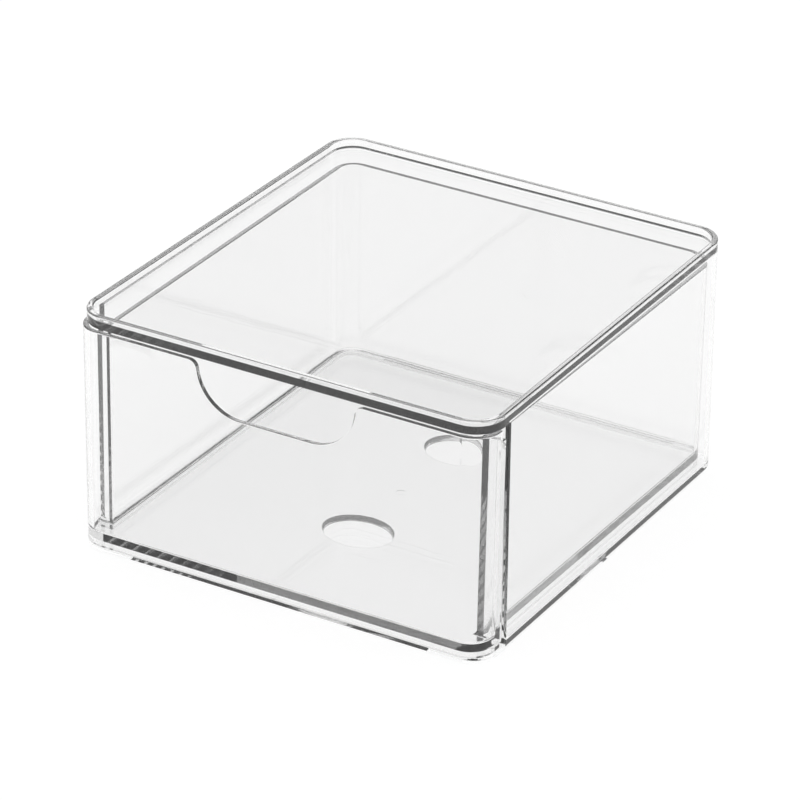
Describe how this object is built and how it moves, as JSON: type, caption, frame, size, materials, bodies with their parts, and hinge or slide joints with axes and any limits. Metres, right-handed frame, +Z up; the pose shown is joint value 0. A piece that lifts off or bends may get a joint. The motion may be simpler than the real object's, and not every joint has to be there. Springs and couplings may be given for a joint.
{
  "type": "clear drawer box",
  "caption": "Clear moulded storage box: an open-fronted case with a raised rim on its fixed top, and a pull-out drawer with a finger scoop in its front.",
  "frame": {"origin": "middle of the closed box, at the bottom of its feet", "axes": "+Z up, -Y towards the drawer's front, +X to the right of someone facing the drawer's front"},
  "size_m": [0.1698, 0.1825, 0.095],
  "materials": {
    "clear_plastic": "polished, transparent, colourless"
  },
  "bodies": {
    "case": {"case": "clear_plastic"},
    "drawer": {"drawer": "clear_plastic"}
  },
  "joints": [
    {"name": "drawer_slide", "type": "slide", "parent": "case", "child": "drawer", "axis": [0, -1, 0], "range_m": [0, 0.13]}
  ]
}
